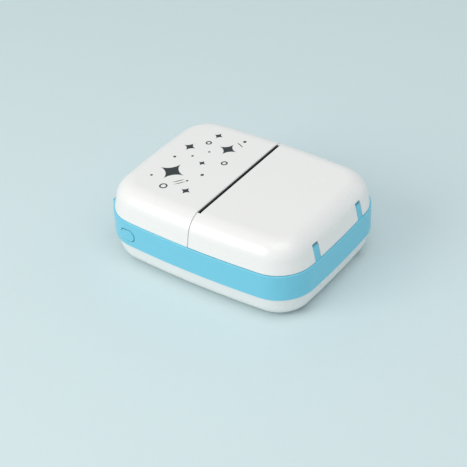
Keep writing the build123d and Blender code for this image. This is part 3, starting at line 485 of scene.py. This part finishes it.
def screwMesh(name, shankRadius, length, headRadius, headHeight):
    # head above z = 0, shank below
    cross = crossCutter(headHeight, headRadius * screwShape["crossShare"])
    objects = []
    for shape in (turnHead(headRadius, headHeight), cross):
        mesh = bpy.data.meshes.new(name)
        shape.to_mesh(mesh)
        shape.free()
        objects.append(linkObject(name, mesh))
    head, cutter = objects
    cut = head.modifiers.new("cross", "BOOLEAN")
    cut.operation, cut.solver, cut.object = "DIFFERENCE", "EXACT", cutter
    graph = bpy.context.evaluated_depsgraph_get()
    cutHead = bpy.data.meshes.new_from_object(head.evaluated_get(graph))
    for thing in objects:
        bpy.data.objects.remove(thing)
    shape = bmesh.new()
    shape.from_mesh(cutHead)
    cutThread(shape, shankRadius, length)
    mesh = bpy.data.meshes.new(name)
    shape.to_mesh(mesh)
    shape.free()
    return mesh


def findScrews(node, axis):
    # reads each plain screw's place and size from its points
    groups = []
    others = [way for way in range(3) if way != axis]
    for vertex in nodes[node].data.vertices:
        spot = Vector([vertex.co[way] for way in others])
        for group in groups:
            if (group["at"] - spot).length < screwShape["apart"] * mm:
                group["points"].append(vertex.co.copy())
                break
        else:
            groups.append({"at": spot, "points": [vertex.co.copy()]})
    found = []
    for group in groups:
        points = group["points"]
        lowest = [min(point[way] for point in points) for way in range(3)]
        highest = [max(point[way] for point in points) for way in range(3)]
        middle = [(least + most) / 2 for least, most in zip(lowest, highest)]
        widths = []
        for level in (lowest[axis], highest[axis]):
            near = [point for point in points if abs(point[axis] - level) < screwShape["levelBand"] * mm]
            widths.append(max(abs(point[way] - middle[way]) for way in others for point in near))
        found.append({"middle": middle, "low": lowest[axis], "high": highest[axis],
                      "headUp": widths[1] > widths[0], "head": max(widths), "shank": min(widths)})
    return found


def cutScrews(node, axis, body, headHeight):
    # one detailed mesh that takes the place of all the screws of a node
    joined = bmesh.new()
    for screw in findScrews(node, axis):
        length = (screw["high"] - screw["low"]) / mm - headHeight
        mesh = screwMesh(node, screw["shank"] / mm, length, screw["head"] / mm, headHeight)
        place = Vector(screw["middle"])
        place[axis] = screw["high"] - headHeight * mm if screw["headUp"] else screw["low"] + headHeight * mm
        direction = Vector((0, 0, 0))
        direction[axis] = 1 if screw["headUp"] else -1
        turn = direction.to_track_quat("Z", "Y").to_matrix().to_4x4()
        mesh.transform(Matrix.Translation(place) @ turn @ Matrix.Scale(mm, 4))
        joined.from_mesh(mesh)
    mesh = bpy.data.meshes.new(node + "_cut")
    joined.to_mesh(mesh)
    joined.free()
    mesh.materials.append(zinc)
    mesh.shade_smooth()
    mesh.set_sharp_from_angle(angle=math.radians(screwShape["smoothAngle"]))
    piece = linkObject(node + "_cut", mesh)
    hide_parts(node)
    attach(piece, body)


for node, (axis, body, headHeight) in screwSets.items():
    cutScrews(node, axis, body, headHeight)
print("screws cut")


# Head springs: wound wire with closed, ground ends, in millimetres; the coil keeps one length and isn't
# pressed shorter as the head swings

coil = {"turns": 6.5, "closedTurns": 1.0, "wire": 0.225, "steps": 30, "sides": 10, "keep": 0.951}


def windSprings():
    low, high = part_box("head_springs")
    wire, closedTurns = coil["wire"], coil["closedTurns"]
    length = (high.y - low.y) / mm
    radius = (high.z - low.z) / 2 / mm - wire
    pitch = (length - 4 * wire * closedTurns) / (coil["turns"] - 2 * closedTurns)
    middle = (low.z + high.z) / 2 / mm
    shape = bmesh.new()
    for centre in (low.x / mm + radius + wire, high.x / mm - radius - wire):
        rings = []
        for step in range(int(coil["turns"] * coil["steps"]) + 1):
            turn = step / coil["steps"]
            closed = min(turn, closedTurns) + max(0, turn - coil["turns"] + closedTurns)
            along = 2 * wire * closed + pitch * (turn - closed)
            angle = 2 * math.pi * turn
            ring = []
            for side in range(coil["sides"]):
                lean = 2 * math.pi * side / coil["sides"]
                reach = radius + wire * math.cos(lean)
                ground = min(max(along + wire * math.sin(lean), 0), length)
                ring.append(shape.verts.new(((centre + reach * math.cos(angle)) * mm, low.y + ground * mm,
                                             (middle + reach * math.sin(angle)) * mm)))
            rings.append(ring)
        skinRings(shape, rings)
    bmesh.ops.recalc_face_normals(shape, faces=shape.faces)
    mesh = bpy.data.meshes.new("wound_springs")
    shape.to_mesh(mesh)
    shape.free()
    mesh.shade_smooth()
    mesh.materials.append(nodes["head_springs"].material_slots[0].material)
    piece = linkObject("wound_springs", mesh)
    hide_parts("head_springs")
    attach(piece, "base")
    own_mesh(piece)


windSprings()
print("springs wound")


# Stage: a pale floor that fades into a pale surround, sizes in metres

stageLook = {"surround": "d3e4e8", "surroundStrength": 1.0, "world": "f6f8f8", "worldStrength": 0.55,
             "floorSize": 2.4, "fade": (0.3, 0.75)}
# Painted board: flat and pale, with a tint that barely varies
paintedBoard = {"name": "painted board", "sockets": {"Roughness": 0.75, "IOR": 1.45},
                "grains": {"colour": {"size": 4.0}}, "colours": ("d6e7ea", "d3e5e9")}


def layFloor():
    material, tree, shader, place, output = newMaterial(paintedBoard)
    away = addNode(tree, "VectorMath", {"operation": "LENGTH"}, {0: place}).outputs["Value"]
    start, end = stageLook["fade"]
    gone = addNode(tree, "MapRange", {"From Min": start, "From Max": end}, {"Value": away})
    mix = addNode(tree, "MixShader", None, {0: gone, 1: shader, 2: addNode(tree, "BsdfTransparent")})
    tree.links.new(mix.outputs[0], output.inputs["Surface"])
    half = stageLook["floorSize"] / 2
    corners = [(-half, -half, 0), (half, -half, 0), (half, half, 0), (-half, half, 0)]
    mesh = bpy.data.meshes.new("floor")
    mesh.from_pydata(corners, [], [(0, 1, 2, 3)])
    mesh.materials.append(material)
    linkObject("floor", mesh)


def lightWorld():
    # lights the object softly, and shows as a pale surround to the camera, gloss and glass
    world = bpy.data.worlds.new("studio")
    bpy.context.scene.world = world
    world.use_nodes = True
    tree = world.node_tree
    tree.nodes.clear()
    soft = {"Color": linearColour(stageLook["world"]), "Strength": stageLook["worldStrength"]}
    pale = {"Color": linearColour(stageLook["surround"]), "Strength": stageLook["surroundStrength"]}
    rays = addNode(tree, "LightPath").outputs
    share = rays["Is Camera Ray"]
    for ray in ("Is Glossy Ray", "Is Transmission Ray"):
        share = addNode(tree, "Math", {"operation": "MAXIMUM"}, {0: share, 1: rays[ray]}).outputs[0]
    mix = addNode(tree, "MixShader", None, {0: share, 1: addNode(tree, "Background", soft),
                                            2: addNode(tree, "Background", pale)})
    addNode(tree, "OutputWorld", None, {"Surface": mix})


# Lamps: a wide key from the left, a soft one from above and a faint fill from the right

lamps = {
    "key": {"place": (-0.82, 0.4, 0.52), "size": 0.7, "power": 4.6, "colour": "fffdf8"},
    "top": {"place": (-0.25, -0.3, 1.1), "size": 0.9, "power": 3.8, "colour": "ffffff"},
    "fill": {"place": (0.9, -0.6, 0.5), "size": 0.8, "power": 0.7, "colour": "dff4fa"},
}
lampTarget = Vector((0, 0, 0.02))


def hangLamps():
    for name, lamp in lamps.items():
        light = bpy.data.lights.new(name, "AREA")
        light.size, light.energy = lamp["size"], lamp["power"]
        light.color = linearColour(lamp["colour"])[:3]
        thing = linkObject(name, light)
        thing.location = lamp["place"]
        thing.rotation_euler = (lampTarget - thing.location).to_track_quat("-Z", "Y").to_euler()


# Camera: where it looks from, how it leans and how it is framed; degrees, metres, and lens in millimetres

cameraView = {"azimuth": -53.53, "elevation": 36.53, "lean": -2.94, "distance": 0.61277,
              "right": 0.00466, "up": -0.00646, "lens": 105.07, "sensor": 36.0, "farEnd": 20.0}


def setCamera():
    azimuth, elevation, lean = (math.radians(cameraView[k]) for k in ("azimuth", "elevation", "lean"))
    back = Vector((math.sin(azimuth) * math.cos(elevation), -math.cos(azimuth) * math.cos(elevation),
                   math.sin(elevation)))
    level = Vector((math.cos(azimuth), math.sin(azimuth), 0))
    upright = back.cross(level)
    right = level * math.cos(lean) + upright * math.sin(lean)
    up = upright * math.cos(lean) - level * math.sin(lean)
    camera = bpy.data.cameras.new("camera")
    camera.lens, camera.sensor_width = cameraView["lens"], cameraView["sensor"]
    camera.clip_end = cameraView["farEnd"]
    thing = linkObject("camera", camera)
    spot = back * cameraView["distance"] - right * cameraView["right"] - up * cameraView["up"]
    thing.matrix_world = Matrix.Translation(spot) @ Matrix((right, up, back)).transposed().to_4x4()
    bpy.context.scene.camera = thing


layFloor()
lightWorld()
hangLamps()
setCamera()
bpy.context.scene.view_settings.view_transform = "Standard"
print("stage, lamps and camera set")
